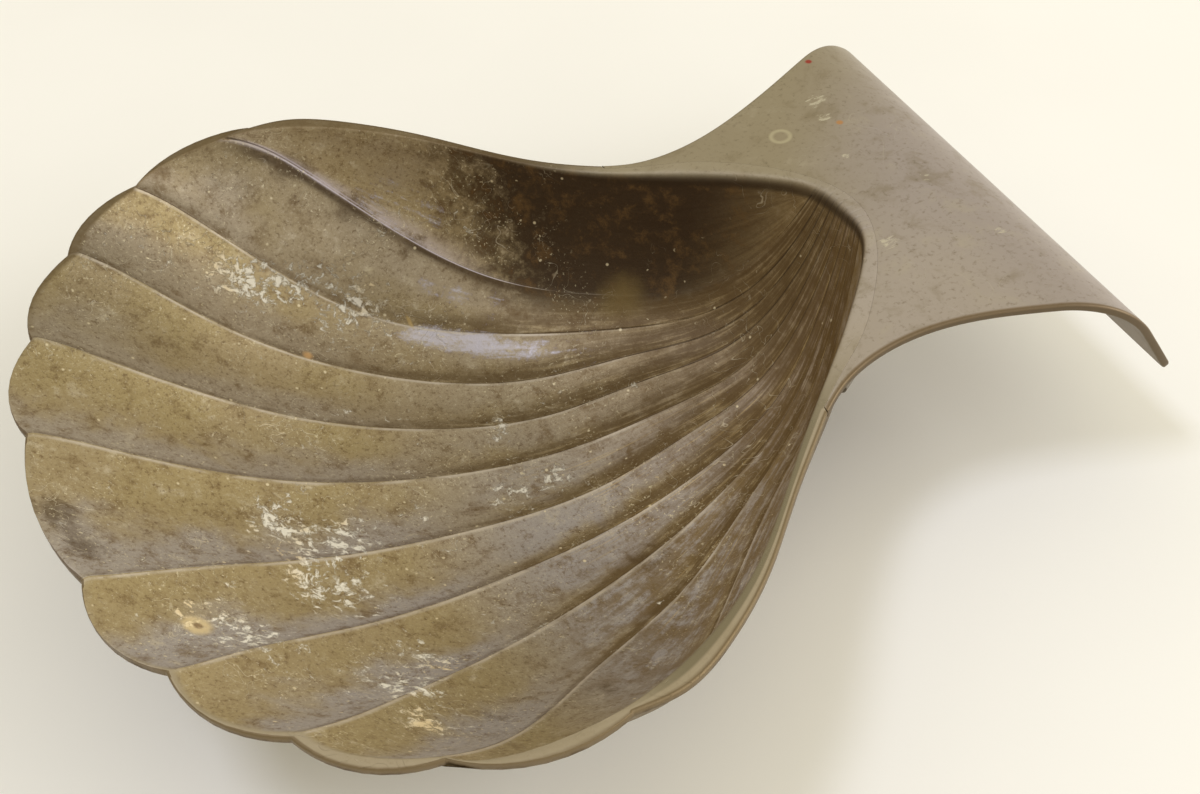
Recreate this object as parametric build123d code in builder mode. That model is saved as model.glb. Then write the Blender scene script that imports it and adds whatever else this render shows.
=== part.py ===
from build123d import *
from math import cos, radians, sin
import os

os.makedirs("parts", exist_ok=True)

# Baptismal shell: a scallop bowl of thin sheet metal with a flared handle.
# Millimetres, +X from the lobed lip towards the handle, +Z up, the bowl
# standing on z = 0 and its ribs mirrored about the XZ plane.

# Sheet and height
sheet = 1.2                 # gauge of the bowl and of the handle plate
rim_height = 37.9           # front rim above the table
wall_top = 13.2             # the bowl form runs on this far above the rim before it is trimmed
flute_bulge = 0.125         # bulge of a flute over its width between two ridges, at the lip
flute_fade = 0.060          # the same at the hinge end, where the flutes die away
flute_deepest = 2.3         # the widest flute is no deeper than this under its ridges
joint_gap = 0.15            # gap that the solder fills between flange and plate

# Bowl cross sections, from the lip to the hinge: station along X, depth of
# the ridge line under the rim, half width at wall_top, fullness (exponent of
# the curve), wall allowance for the slope there, and the ridges' distances
# from the middle, from the outermost in.
sections = [
    (-85.8, -6.2, 37.2, 2.0, 1.50, (34.4, 31.6, 28.0, 22.2, 14.5)),
    (-76.6, 0.1, 51.6, 1.8, 1.40, (48.2, 45.4, 41.2, 32.7, 14.5)),
    (-64.7, 9.0, 59.9, 1.7, 1.30, (57.8, 54.7, 49.8, 31.2, 11.8)),
    (-46.9, 21.3, 66.8, 1.9, 1.15, (64.0, 60.0, 41.5, 24.3, 8.6)),
    (-23.8, 31.5, 65.4, 2.5, 1.05, (62.4, 43.6, 29.8, 17.6, 6.3)),
    (-0.7, 36.3, 51.8, 3.0, 1.00, (41.5, 31.2, 21.4, 13.1, 4.8)),
    (15.8, 34.9, 35.6, 3.4, 1.05, (27.2, 21.7, 16.4, 10.7, 3.3)),
    (29.0, 31.6, 23.9, 3.5, 1.25, (17.8, 14.4, 11.0, 7.4, 2.2)),
    (39.3, 19.8, 14.3, 3.5, 1.70, (10.3, 8.1, 6.1, 4.1, 1.4)),
    (45.6, 4.0, 7.5, 3.5, 2.50, (5.4, 4.2, 3.2, 2.0, 0.8)),
    (48.3, -5.3, 3.8, 3.5, 2.50, (2.8, 2.2, 1.6, 1.0, 0.4)),
]

# Lip in plan: the notches between the lobes and the crown of each lobe,
# from the middle outwards, then the plain side down to the neck
lip_middle = (-78.9, 0)
notches = [(-76.6, 14.6), (-71.4, 33.2), (-61.8, 49.4), (-47.5, 60.9), (-26.9, 65.9)]
crowns = [(-76.6, 24.6), (-68.4, 43.2), (-55.8, 57.6), (-38.9, 66.1)]
side = [(-20.5, 65.7), (-11.9, 61.8), (-1.3, 53.8), (9.2, 43.5), (21.1, 32.9)]
arm_tip_width = 0.9         # the handle's arms start this wide beside the neck
mouth = [(25.7, 28.7), (32.7, 24.1), (38.3, 18.8), (44.2, 11.2)]
mouth_end = (48.0, 0)
mouth_middle = (21.0, 0)    # the mouth's edge curves round this point

# Side view of rim and plate, as heights against the front rim
rim_start = (-90, 0)
rim_flat_end = (-30.4, 0)
rim_dip = [(-17.2, -1.4), (-1.3, -4.5), (14.5, -7.1), (30.4, -5.8), (46.2, -4.0)]
roll_start = (60.5, -3.8)   # where the plate begins to roll down
roll_radius = 16.0
roll_angle = 60.0
roll_tail = 9.4             # straight stretch from the roll to the end
roll_skew = 3.1             # the roll was bent a little out of square

# Handle in plan, from the arm's tip outwards to the end
handle_side = [(25.1, 30.4), (35.6, 28.3), (46.2, 30.3), (56.8, 34.5), (70.0, 39.8), (90.0, 42.0)]
half_span = 75.0            # reach across, past every outline
air_corner = (110.0, 60.0)  # the air over rim and plate reaches this far
neck_start = (0.8, -0.6)    # way the flange's edge sets off from an arm's tip
wall_shares = (0, 0.25, 0.5, 0.75, 0.92, 1)     # points of the plain wall beside the last ridge

bead_radius = 1.3           # solder bead under the joint
bead_drop = 0.5             # its middle under the plate's lower face
bead_heights = [-6.3, -5.6, -5.0, -4.3, -4.0]   # the plate's dip at the mouth's points


def curve_height(y, depth, half_width, fullness):
    """Height over the rim of the bowl curve at y: a superellipse hung from wall_top."""
    share = min(abs(y) / half_width, 1.0)
    return wall_top - (wall_top + depth) * (1 - share**fullness) ** (1 / fullness)


def bowl_form(allowance):
    """The bowl's inside, or with an allowance of one sheet its outside, as a solid."""
    lip_x = sections[0][0]
    hinge_x = sections[-1][0]
    with BuildPart() as form:
        for x, depth, half_width, fullness, slope, ridges in sections:
            grow = allowance * slope
            wide = half_width + grow
            deep = depth + grow
            along = (x - lip_x) / (hinge_x - lip_x)
            bulge = flute_bulge + (flute_fade - flute_bulge) * along
            places = [wide * y / half_width for y in ridges]
            places = places + [-y for y in reversed(places)]
            points = [Vector(y, curve_height(y, deep, wide, fullness)) for y in places]
            with BuildSketch(Plane((x, 0, rim_height), x_dir=(0, 1, 0), z_dir=(1, 0, 0))):
                with BuildLine():
                    for a, b in zip(points, points[1:]):
                        chord = b - a
                        out = Vector(chord.Y, -chord.X).normalized()
                        dip = min(chord.length * bulge, flute_deepest)
                        low = (a + b) * 0.5 + out * (dip if out.Y < 0 else -dip)
                        ThreePointArc(a, low, b)
                    for turn in (1, -1):
                        wall = []
                        for share in wall_shares:
                            y = places[0] + (wide - places[0]) * share
                            wall.append((turn * y, curve_height(y, deep, wide, fullness)))
                        Spline(*wall)
                    Line((wide, wall_top), (-wide, wall_top))
                make_face()
        loft()
    return form.part


def side_view_line(inset):
    """Rim and plate in side view, from lip to roll end, inset under their top face."""
    dip = [(x, z - inset) for x, z in (rim_start, rim_flat_end, *rim_dip, roll_start)]
    start = Line(dip[0], dip[1])
    Spline(*dip[1:], tangents=((1, 0), (1, 0)))
    centre = (roll_start[0], roll_start[1] - roll_radius)
    roll = CenterArc(centre, roll_radius - inset, 90, -roll_angle)
    tail = Line(roll @ 1, (roll @ 1) + (roll % 1) * roll_tail)
    return start @ 0, tail @ 1


def plate_blank(turn):
    """Sheet bent to the side view and running right across, turned about +Z by turn degrees."""
    along = (cos(radians(turn)), sin(radians(turn)), 0)
    across = (sin(radians(turn)), -cos(radians(turn)), 0)
    with BuildPart() as blank:
        with BuildSketch(Plane((0, 0, rim_height), x_dir=along, z_dir=across)):
            with BuildLine():
                top_ends = side_view_line(0)
                low_ends = side_view_line(sheet)
                for top, low in zip(top_ends, low_ends):
                    Line(top, low)
            make_face()
        extrude(amount=half_span, both=True)
    return blank.part


def neck_line(gap):
    """The flange edge round the mouth, from inside an arm's tip to the middle, plus a gap."""
    start = (side[-1][0], side[-1][1] - arm_tip_width)
    points = [Vector(*p) for p in (start, *mouth, mouth_end)]
    points = [p + (p - Vector(*mouth_middle)).normalized() * gap for p in points]
    return Spline(*points, tangents=(neck_start, (0, -1)))


with BuildPart() as air_above:
    with BuildSketch(Plane((0, 0, rim_height), x_dir=(1, 0, 0), z_dir=(0, -1, 0))):
        with BuildLine():
            end = side_view_line(0)[1]
            air_x, air_z = air_corner
            Polyline(end, (air_x, end.Y), (air_x, air_z), (rim_start[0], air_z), rim_start)
        make_face()
    extrude(amount=half_span + 5, both=True)

# Plan of the bowl: the lobed lip, the plain sides and the flange round the mouth
with BuildPart() as lip_blank:
    with BuildSketch():
        with BuildLine():
            for a, crown, b in zip(notches, crowns, notches[1:]):
                ThreePointArc(a, crown, b)
            Spline(notches[-1], *side)
            Line(side[-1], (side[-1][0], side[-1][1] - arm_tip_width))
            neck_line(0)
            mirror(about=Plane.XZ)
            ThreePointArc((notches[0][0], -notches[0][1]), lip_middle, notches[0])
        make_face()
    extrude(amount=rim_height + 5)

cavity = bowl_form(0)

# The bowl: fluted sheet with a narrow flat flange round its lip and mouth
with BuildPart() as outside:
    add(bowl_form(sheet))
    add(air_above.part, mode=Mode.SUBTRACT)
    add(lip_blank.part, mode=Mode.INTERSECT)

with BuildPart() as bowl:
    add(plate_blank(0))
    add(lip_blank.part, mode=Mode.INTERSECT)
    add(outside.part)
    add(cavity, mode=Mode.SUBTRACT)
    # worn flat where the bowl stands
    with BuildSketch():
        Rectangle(2 * half_span, 2 * half_span)
    extrude(amount=-sheet, mode=Mode.SUBTRACT)
bowl.part.label = "bowl"

# The handle: a flared plate whose two arms hold the bowl's neck
with BuildPart() as handle:
    add(plate_blank(-roll_skew))
    with BuildSketch():
        with BuildLine():
            arm_tip = (side[-1][0] + joint_gap, side[-1][1])
            edge = Spline(arm_tip, *handle_side)
            far_corner = edge @ 1
            Line(far_corner, (far_corner.X, -far_corner.Y))
            mirror(edge, about=Plane.XZ)
            Line((arm_tip[0], -arm_tip[1]), arm_tip)
        make_face()
    extrude(amount=rim_height + 5, mode=Mode.INTERSECT)
    with BuildSketch():
        with BuildLine():
            neck = neck_line(joint_gap)
            mirror(neck, about=Plane.XZ)
            Line(neck @ 0, ((neck @ 0).X, -(neck @ 0).Y))
        make_face()
    extrude(amount=rim_height + 5, mode=Mode.SUBTRACT)
handle.part.label = "handle"

# The solder: a bead along the underside of the joint, round the mouth
with BuildPart() as solder_bead:
    with BuildLine():
        under = rim_height - sheet - bead_drop
        half = [(x, y, under + z) for (x, y), z in zip([*mouth, mouth_end], bead_heights)]
        joint = Spline(*half, *[(x, -y, z) for x, y, z in reversed(half[:-1])])
    with BuildSketch(Plane(joint @ 0, z_dir=joint % 0)):
        Circle(bead_radius)
    sweep()
    add(cavity, mode=Mode.SUBTRACT)
    add(bowl.part, mode=Mode.SUBTRACT)
    add(handle.part, mode=Mode.SUBTRACT)
solder_bead.part.label = "solder_bead"

export_step(bowl.part, "parts/bowl.step")
export_step(handle.part, "parts/handle.step")
export_step(solder_bead.part, "parts/solder_bead.step")
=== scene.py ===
import bpy
import math
import numpy as np
from mathutils import Matrix


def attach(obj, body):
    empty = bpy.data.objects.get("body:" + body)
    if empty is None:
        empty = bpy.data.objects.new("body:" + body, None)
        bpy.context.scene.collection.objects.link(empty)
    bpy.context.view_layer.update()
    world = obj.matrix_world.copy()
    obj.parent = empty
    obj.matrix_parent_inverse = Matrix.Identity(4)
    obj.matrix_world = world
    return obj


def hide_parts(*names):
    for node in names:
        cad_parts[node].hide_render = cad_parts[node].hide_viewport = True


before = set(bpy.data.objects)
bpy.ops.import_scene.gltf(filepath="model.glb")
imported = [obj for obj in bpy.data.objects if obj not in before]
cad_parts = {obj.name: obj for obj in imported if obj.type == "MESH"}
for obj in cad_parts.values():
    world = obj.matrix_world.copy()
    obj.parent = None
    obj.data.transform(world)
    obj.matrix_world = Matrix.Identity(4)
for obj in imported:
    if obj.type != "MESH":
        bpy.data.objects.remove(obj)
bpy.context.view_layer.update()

# The bowl. One disc of thin brass, raised and chased into nine flutes that
# run together at the neck, left with a narrow flat flange round lip and
# mouth. It is browned by age and water, with lime in its hollows.
MM = 0.001
SHEET = 1.2
RIM = 37.9
WALL_TOP = 13.2             # the bowl's form runs on this far above the rim
FLUTES = 9
FLUTE_BULGE = 0.125         # sag of a flute over its chord at the lip
FLUTE_LOSS = 0.065          # how much of that it has lost at the hinge
FLUTE_DEEPEST = 2.3
CREST_SOFT = 0.05           # rounding of the crests inside, and under the sheet
UNDER_SOFT = 1.0

# Station along X, depth under the rim, half width, fullness, ridges outermost in
STATIONS = np.array([
    [-85.8, -6.2, 37.2, 2.0, 34.4, 31.6, 28.0, 22.2, 14.5],
    [-76.6, 0.1, 51.6, 1.8, 48.2, 45.4, 41.2, 32.7, 14.5],
    [-64.7, 9.0, 59.9, 1.7, 57.8, 54.7, 49.8, 31.2, 11.8],
    [-46.9, 21.3, 66.8, 1.9, 64.0, 60.0, 41.5, 24.3, 8.6],
    [-23.8, 31.5, 65.4, 2.5, 62.4, 43.6, 29.8, 17.6, 6.3],
    [-0.7, 36.3, 51.8, 3.0, 41.5, 31.2, 21.4, 13.1, 4.8],
    [15.8, 34.9, 35.6, 3.4, 27.2, 21.7, 16.4, 10.7, 3.3],
    [29.0, 31.6, 23.9, 3.5, 17.8, 14.4, 11.0, 7.4, 2.2],
    [39.3, 19.8, 14.3, 3.5, 10.3, 8.1, 6.1, 4.1, 1.4],
    [45.6, 4.0, 7.5, 3.5, 5.4, 4.2, 3.2, 2.0, 0.8],
    [48.3, -5.3, 3.8, 3.5, 2.8, 2.2, 1.6, 1.0, 0.4],
])
RIM_LINE = np.array([
    (-30.4, 0), (-17.2, -1.4), (-1.3, -4.5), (14.5, -7.1), (30.4, -5.8), (46.2, -4.0), (60.5, -3.8)])
LIP_MIDDLE = (-78.9, 0)
NOTCHES = [(-76.6, 14.6), (-71.4, 33.2), (-61.8, 49.4), (-47.5, 60.9), (-26.9, 65.9)]
CROWNS = [(-76.6, 24.6), (-68.4, 43.2), (-55.8, 57.6), (-38.9, 66.1)]
SIDE = [(-20.5, 65.7), (-11.9, 61.8), (-1.3, 53.8), (9.2, 43.5), (21.1, 32.9)]
MOUTH = [(25.7, 28.7), (32.7, 24.1), (38.3, 18.8), (44.2, 11.2), (48.0, 0)]
MOUTH_MIDDLE = (21.0, 0)
NECK_START = (0.8, -0.6)    # way that the flange's edge sets off from an arm's tip
ARM_TIP = 0.9
FLUTE_STEPS = 14
WALL_STEPS = 28
ROWS = 170
ROW_GATHER = 0.10           # rows lie closer together at both ends by this share


def spline(knots, values, at, ends=None):
    """Cubic through (knot, value) rows, taken at the places of the array at.

    Second derivatives come from the usual tridiagonal system, natural at the
    ends, or with the end slopes given in ends."""
    knots, values = np.asarray(knots, float), np.asarray(values, float)
    flat = values.ndim == 1
    if flat:
        values = values[:, None]
    n = len(knots)
    h = np.diff(knots)
    slope = np.diff(values, axis=0) / h[:, None]
    m, rhs = np.zeros((n, n)), np.zeros_like(values)
    i = np.arange(1, n - 1)
    m[i, i - 1], m[i, i], m[i, i + 1] = h[:-1], 2 * (h[:-1] + h[1:]), h[1:]
    rhs[i] = 6 * np.diff(slope, axis=0)
    m[0, 0] = m[-1, -1] = 1
    if ends is not None:
        m[0, :2], m[-1, -2:] = (2 * h[0], h[0]), (h[-1], 2 * h[-1])
        rhs[0], rhs[-1] = 6 * (slope[0] - ends[0]), 6 * (ends[1] - slope[-1])
    c = np.linalg.solve(m, rhs)
    at = np.asarray(at, float)
    k = np.clip(np.searchsorted(knots, at) - 1, 0, n - 2)
    a, b = (knots[k + 1] - at)[..., None], (at - knots[k])[..., None]
    w = h[k][..., None]
    out = (a**3 * c[k] + b**3 * c[k + 1]) / (6 * w)
    out = out + (values[k] / w - c[k] * w / 6) * a + (values[k + 1] / w - c[k + 1] * w / 6) * b
    return out[..., 0] if flat else out


def through(points, count, ends=None):
    """Plan curve through points: a cubic over the running chord length."""
    points = np.asarray(points, float)
    run = np.r_[0, np.cumsum(np.linalg.norm(np.diff(points, axis=0), axis=1))]
    return spline(run, points, np.linspace(0, run[-1], count), ends)


def rim_z(x):
    """Height of the rim and plate over the table, before the roll."""
    inside = np.clip(x, RIM_LINE[0, 0], RIM_LINE[-1, 0])
    return RIM + spline(RIM_LINE[:, 0], RIM_LINE[:, 1], inside, (0, 0))


reach = np.r_[0, np.cumsum(np.hypot(*np.diff(STATIONS[:, :2], axis=0).T))]


def section(p):
    """Station values x, depth, half width, fullness and ridges at run p."""
    q = spline(reach, STATIONS, p)
    return q[..., 0], q[..., 1], q[..., 2], q[..., 3], q[..., 4:]


def curve_z(y, depth, half, full):
    """Superellipse hung from WALL_TOP over the rim, in table heights."""
    share = np.clip(np.abs(y) / half, 0, 1)
    return RIM + WALL_TOP - (WALL_TOP + depth) * (1 - share**full) ** (1 / full)


def flute_points(p, flute, s, soft):
    """Points of the flutes: run p, flute number 0 to 8, s from ridge to ridge.

    The chord between two ridges bellies outwards by sag * 4s(1-s), and
    sqrt(d^2 + soft^2) - soft rounds the crest where two flutes meet."""
    x, depth, half, full, ridges = section(p)
    sides = np.concatenate([ridges, -ridges[..., ::-1]], axis=-1)
    ya = np.take_along_axis(sides, flute[..., None], -1)[..., 0]
    yb = np.take_along_axis(sides, flute[..., None] + 1, -1)[..., 0]
    za, zb = curve_z(ya, depth, half, full), curve_z(yb, depth, half, full)
    chord = np.hypot(yb - ya, zb - za)
    along = (x - STATIONS[0, 0]) / (STATIONS[-1, 0] - STATIONS[0, 0])
    sag = np.minimum(chord * (FLUTE_BULGE - FLUTE_LOSS * along), FLUTE_DEEPEST)
    d = sag * 4 * s * (1 - s)
    d = np.sqrt(d**2 + soft**2) - soft
    ny, nz = (zb - za) / chord, -(yb - ya) / chord
    flip = np.where(nz > 0, -1, 1)
    return np.stack([x, ya + (yb - ya) * s + ny * flip * d, za + (zb - za) * s + nz * flip * d], -1)


def wall_points(p, t, drop, sign):
    """Points of the plain walls: t from the outermost ridge to the rim.

    The superellipse is walked by its angle a, y = sin(a)^(2/e) and height
    cos(a)^(2/e); drop pulls the end down along the wall, in mm."""
    x, depth, half, full, ridges = section(p)
    deep = WALL_TOP + depth
    q = np.clip(ridges[..., 0] / half, 0, 0.99999)
    first = np.arcsin(q ** (full / 2))
    c = np.clip((WALL_TOP - (rim_z(x) - RIM)) / deep, 0, 1)
    last = np.arccos(np.clip(c + drop / deep, 0, 1) ** (full / 2))
    a = first + (np.maximum(last, first) - first) * t
    y = half * np.sin(a) ** (2 / full)
    z = RIM + WALL_TOP - deep * np.cos(a) ** (2 / full)
    return np.stack([x, sign * y, z], -1)


def crossings(lip_drop, mouth_drop):
    """Runs between which each flute line lies under the rim by more than the two drops.

    The heights at fine steps are searched from both ends for the first below zero,
    and the crossing lies on the straight line to the step before it."""
    fine_steps = 3000
    p = np.linspace(0, reach[-1], fine_steps)[:, None] + np.zeros(len(s_line))
    points = flute_points(p, np.broadcast_to(flute, p.shape), np.broadcast_to(s_line, p.shape), CREST_SOFT)
    above = points[..., 2] - rim_z(points[..., 0])
    lines = np.arange(len(s_line))
    ends = []
    for height, way in ((above + lip_drop, 1), (above + mouth_drop, -1)):
        k = np.argmax((height < 0)[::way], axis=0)
        k = k if way == 1 else len(p) - 1 - k
        f = height[k - way, lines] / (height[k - way, lines] - height[k, lines])
        ends.append(p[k - way, lines] + f * (p[k, lines] - p[k - way, lines]))
    return ends


# Columns: the far wall, nine flutes with lines gathered at the crests, the near wall
ease = (1 - np.cos(np.linspace(0, np.pi, FLUTE_STEPS + 1))) / 2
flute = np.r_[np.repeat(np.arange(FLUTES), FLUTE_STEPS), FLUTES - 1]
s_line = np.r_[np.tile(ease[:-1], FLUTES), 1.0]
row_share = np.linspace(0, 1, ROWS)
row_share = row_share - ROW_GATHER * np.sin(2 * np.pi * row_share) / (2 * np.pi)

# Rounding from the bowl into the flange: at the lip, and at the mouth's two sides
LIP_ROUND = 0.45
FAR_ROUND = 1.5
NEAR_ROUND = 0.8


def towards_mouth(x):
    """0 up to the place where the rounding begins to grow, 1 where it is the mouth's."""
    grows_from, grows_over = 8, 22
    return np.clip((x - grows_from) / grows_over, 0, 1)


def bowl_grid(soft, rounded):
    """The whole inside as a grid of rows by columns; rounded (0 or 1) stops it short of
    the rim, where the edge begins to round over into the flange."""
    mouth_drop = rounded * (FAR_ROUND + (NEAR_ROUND - FAR_ROUND) * np.linspace(0, 1, len(s_line)))
    front, back = crossings(rounded * LIP_ROUND, mouth_drop)
    p = front + (back - front) * row_share[:, None]
    mid = flute_points(p, np.broadcast_to(flute, p.shape), np.broadcast_to(s_line, p.shape), soft)
    t = np.linspace(0, 1, WALL_STEPS + 1)[1:]
    turned = towards_mouth(section(p[:, 0])[0])[:, None]
    walls = []
    for column, drop, side in ((0, mouth_drop[0], 1), (-1, mouth_drop[-1], -1)):
        down = rounded * LIP_ROUND + (drop - rounded * LIP_ROUND) * turned
        walls.append(wall_points(p[:, column, None] + 0 * t, 0 * p[:, :1] + t, down, side))
    return np.concatenate([walls[0][:, ::-1], mid, walls[1]], axis=1)


def normals(grid):
    """Unit normals of a grid, from its two difference directions; up where it lies flat."""
    du, dv = np.gradient(grid, axis=0), np.gradient(grid, axis=1)
    n = np.cross(du, dv)
    n = n / np.maximum(np.linalg.norm(n, axis=-1, keepdims=True), 1e-9)
    return n * (1 if np.mean(n[..., 2]) > 0 else -1)


def perimeter(grid):
    """The grid's border as one closed loop: first row, last column, last row, first column."""
    return np.concatenate([grid[0, :-1], grid[:-1, -1], grid[-1, :0:-1], grid[:0:-1, 0]])


def arc_points(a, crown, b, s):
    """Points at shares s of the circle arc through a, crown and b."""
    a, m, b = (np.asarray(q, float) for q in (a, crown, b))
    d = 2 * (a[0] * (m[1] - b[1]) + m[0] * (b[1] - a[1]) + b[0] * (a[1] - m[1]))
    ux = ((a @ a) * (m[1] - b[1]) + (m @ m) * (b[1] - a[1]) + (b @ b) * (a[1] - m[1])) / d
    uy = ((a @ a) * (b[0] - m[0]) + (m @ m) * (a[0] - b[0]) + (b @ b) * (m[0] - a[0])) / d
    o = np.array([ux, uy])
    t0, t1 = np.arctan2(*(a - o)[::-1]), np.arctan2(*(b - o)[::-1])
    turn = (t1 - t0 + np.pi) % (2 * np.pi) - np.pi
    t = t0 + turn * s
    return o + np.linalg.norm(a - o) * np.stack([np.cos(t), np.sin(t)], -1)


def neck_curve(count, gap):
    """Plan of the joint, from the arm's tip to the middle of the mouth, moved out by gap."""
    pts = np.array([(SIDE[-1][0], SIDE[-1][1] - ARM_TIP), *MOUTH], float)
    away = pts - MOUTH_MIDDLE
    pts = pts + away / np.linalg.norm(away, axis=1, keepdims=True) * gap
    return through(pts, count, (np.array(NECK_START), np.array([0.0, -1.0])))


# Outline of the flange, matched to the border of the grid
CURVE_STEPS = 400
sharp = bowl_grid(CREST_SOFT, 0)
rim_loop = perimeter(sharp)
side_curve = np.concatenate([through([NOTCHES[-1], *SIDE], CURVE_STEPS), neck_curve(CURVE_STEPS, 0)[1:]])
lobes = range(len(CROWNS) - 1, -1, -1)
half_lip = np.concatenate([arc_points(NOTCHES[k], CROWNS[k], NOTCHES[k + 1], 1 - ease)[:-1] for k in lobes])
middle_lip = arc_points(NOTCHES[0], LIP_MIDDLE, (NOTCHES[0][0], -NOTCHES[0][1]), ease)
lip_line = np.concatenate([half_lip, middle_lip, (half_lip * (1, -1))[::-1]])


def nearest(points, curve):
    """For each plan point the nearest point of the curve, never running back along it."""
    gap = np.linalg.norm(points[:, None] - curve[None], axis=-1)
    return curve[np.maximum.accumulate(np.argmin(gap, axis=1))]


# The arm's tip is a corner of the outline, so two of its points are set there
far_line = nearest(sharp[:, 0, :2], side_curve)
far_line[0] = side_curve[0]
tip = np.argmin(np.linalg.norm(far_line - SIDE[-1], axis=1))
far_line[tip], far_line[tip + 1] = SIDE[-1], (SIDE[-1][0], SIDE[-1][1] - ARM_TIP)
back_line = nearest(sharp[-1, WALL_STEPS:-WALL_STEPS, :2][:len(s_line) // 2 + 1], side_curve)
back_line = np.concatenate([back_line, (back_line[:-1] * (1, -1))[::-1]])
far_tip = np.repeat(far_line[:1], WALL_STEPS, 0)
far_end = np.repeat(far_line[-1:], WALL_STEPS, 0)
first_row = np.concatenate([far_tip, lip_line, far_tip * (1, -1)])
last_row = np.concatenate([far_end, back_line, far_end * (1, -1)])
outline = np.concatenate([first_row[:-1], (far_line * (1, -1))[:-1], last_row[:0:-1], far_line[:0:-1]])


def grid_cells(index):
    """Quads of an index grid, wound to face up."""
    cells = np.stack([index[:-1, :-1], index[:-1, 1:], index[1:, 1:], index[1:, :-1]], -1)
    return cells.reshape(-1, 4)


def closed_sheet(name, top, cells, loop, rings, bottom, paint):
    """A sheet closed all round, in mm: upper points with their cells and border loop,
    rings of border points from the upper face to the lower one, and the lower points.
    paint holds named rows of three values for all these points.

    Points that fall on one place are merged, and quads that lose a corner by it
    become triangles or go."""
    count, length = len(top), len(loop)
    base = count + len(rings) * length
    loops = [loop] + [count + k * length + np.arange(length) for k in range(len(rings))] + [base + loop]
    faces = [cells, base + cells[:, ::-1]]
    for a, b in zip(loops, loops[1:]):
        faces.append(np.stack([b, np.roll(b, -1), np.roll(a, -1), a], -1))
    points = np.concatenate([top, *rings, bottom])
    _, first, faces_of = np.unique(np.round(points, 5), axis=0, return_index=True, return_inverse=True)
    faces = faces_of.reshape(-1)[np.concatenate(faces)]
    turns = faces != np.roll(faces, -1, axis=1)
    quads = faces[turns.all(axis=1)]
    three = turns.sum(axis=1) == 3
    faces = quads.tolist() + faces[three][turns[three]].reshape(-1, 3).tolist()
    used, order = np.unique(np.concatenate([np.ravel(f) for f in faces]), return_inverse=True)
    cuts = np.cumsum([len(f) for f in faces])[:-1]
    mesh = bpy.data.meshes.new(name)
    mesh.from_pydata((points[first[used]] * MM).tolist(), [], [f.tolist() for f in np.split(order, cuts)])
    for title, values in paint.items():
        layer = mesh.attributes.new(title, "FLOAT_VECTOR", "POINT")
        layer.data.foreach_set("vector", values[first[used]].astype(np.float32).ravel())
    mesh.update()
    mesh.shade_smooth()
    piece = bpy.data.objects.new(name, mesh)
    bpy.context.scene.collection.objects.link(piece)
    return piece


def bezier(a, b, c, t):
    """Quadratic curve from a to c with its corner at b."""
    return (1 - t) ** 2 * a + 2 * t * (1 - t) * b + t**2 * c


top = bowl_grid(CREST_SOFT, 1)
soft_top = bowl_grid(UNDER_SOFT, 1)
under = soft_top - normals(soft_top) * SHEET
under[..., 2] = np.maximum(under[..., 2], 0.0)      # worn flat where it stands
wall_loop = perimeter(top)

# Way out over the flange, and how far of it the rounding and the edge take
FAR_SPREAD = 30             # across the middle the mouth's rounding changes over this far
ROUND_MOST = 0.55           # share of the flange that the rounding may take
EDGE = 0.35                 # rounding of the sheet's cut edge
JOINT_EDGE = 0.02           # the same where the edge meets the other sheet
JOINT_FROM, JOINT_SIDE = 20, 32.1
flat = outline - rim_loop[:, :2]
width = np.linalg.norm(flat, axis=1, keepdims=True)
outward = flat / np.maximum(width, 1e-6)
far_share = np.clip(0.5 + rim_loop[:, 1:2] / FAR_SPREAD, 0, 1)
at_mouth = NEAR_ROUND + (FAR_ROUND - NEAR_ROUND) * far_share
rounding = LIP_ROUND + (at_mouth - LIP_ROUND) * towards_mouth(rim_loop[:, :1])
reach_out = np.minimum(rounding, ROUND_MOST * width)
at_joint = (np.abs(outline[:, 1]) < JOINT_SIDE) & (outline[:, 0] > JOINT_FROM)
edge = np.where(at_joint, JOINT_EDGE, EDGE)[:, None]


def on_rim(xy, drop=0.0):
    """Plan points set on the rim surface, or drop mm under it."""
    return np.concatenate([xy, rim_z(xy[:, 0])[:, None] - drop], -1)


def over_flange(short):
    """Plan points short mm inside the outline, but never inside the rounding."""
    return rim_loop[:, :2] + outward * np.maximum(width - short, reach_out)


def edge_ring(turn, drop, way):
    """A ring of the cut edge's quarter circle at turn (0 to 1), from drop down or up."""
    a = turn * np.pi / 2
    return on_rim(edge_xy + (outline - edge_xy) * np.sin(a), drop + way * edge * (1 - np.cos(a)))


CROWN_STEPS = (0.2, 0.4, 0.6, 0.8)
EDGE_DOWN, EDGE_BACK = (0.35, 0.7, 1.0), (1.0, 0.7, 0.35, 0.0)
SHY = 0.06                  # a ring this far short of the edge keeps the flange flat
edge_xy = over_flange(edge)
crown_loop = on_rim(rim_loop[:, :2] + outward * reach_out)
rings = [bezier(wall_loop, rim_loop, crown_loop, t) for t in CROWN_STEPS]
rings += [crown_loop, on_rim(over_flange(edge + SHY)), on_rim(edge_xy)]
rings += [edge_ring(turn, 0, 1) for turn in EDGE_DOWN]
rings += [edge_ring(turn, SHEET, -1) for turn in EDGE_BACK]
index = np.arange(top.shape[0] * top.shape[1]).reshape(top.shape[:2])

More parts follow.
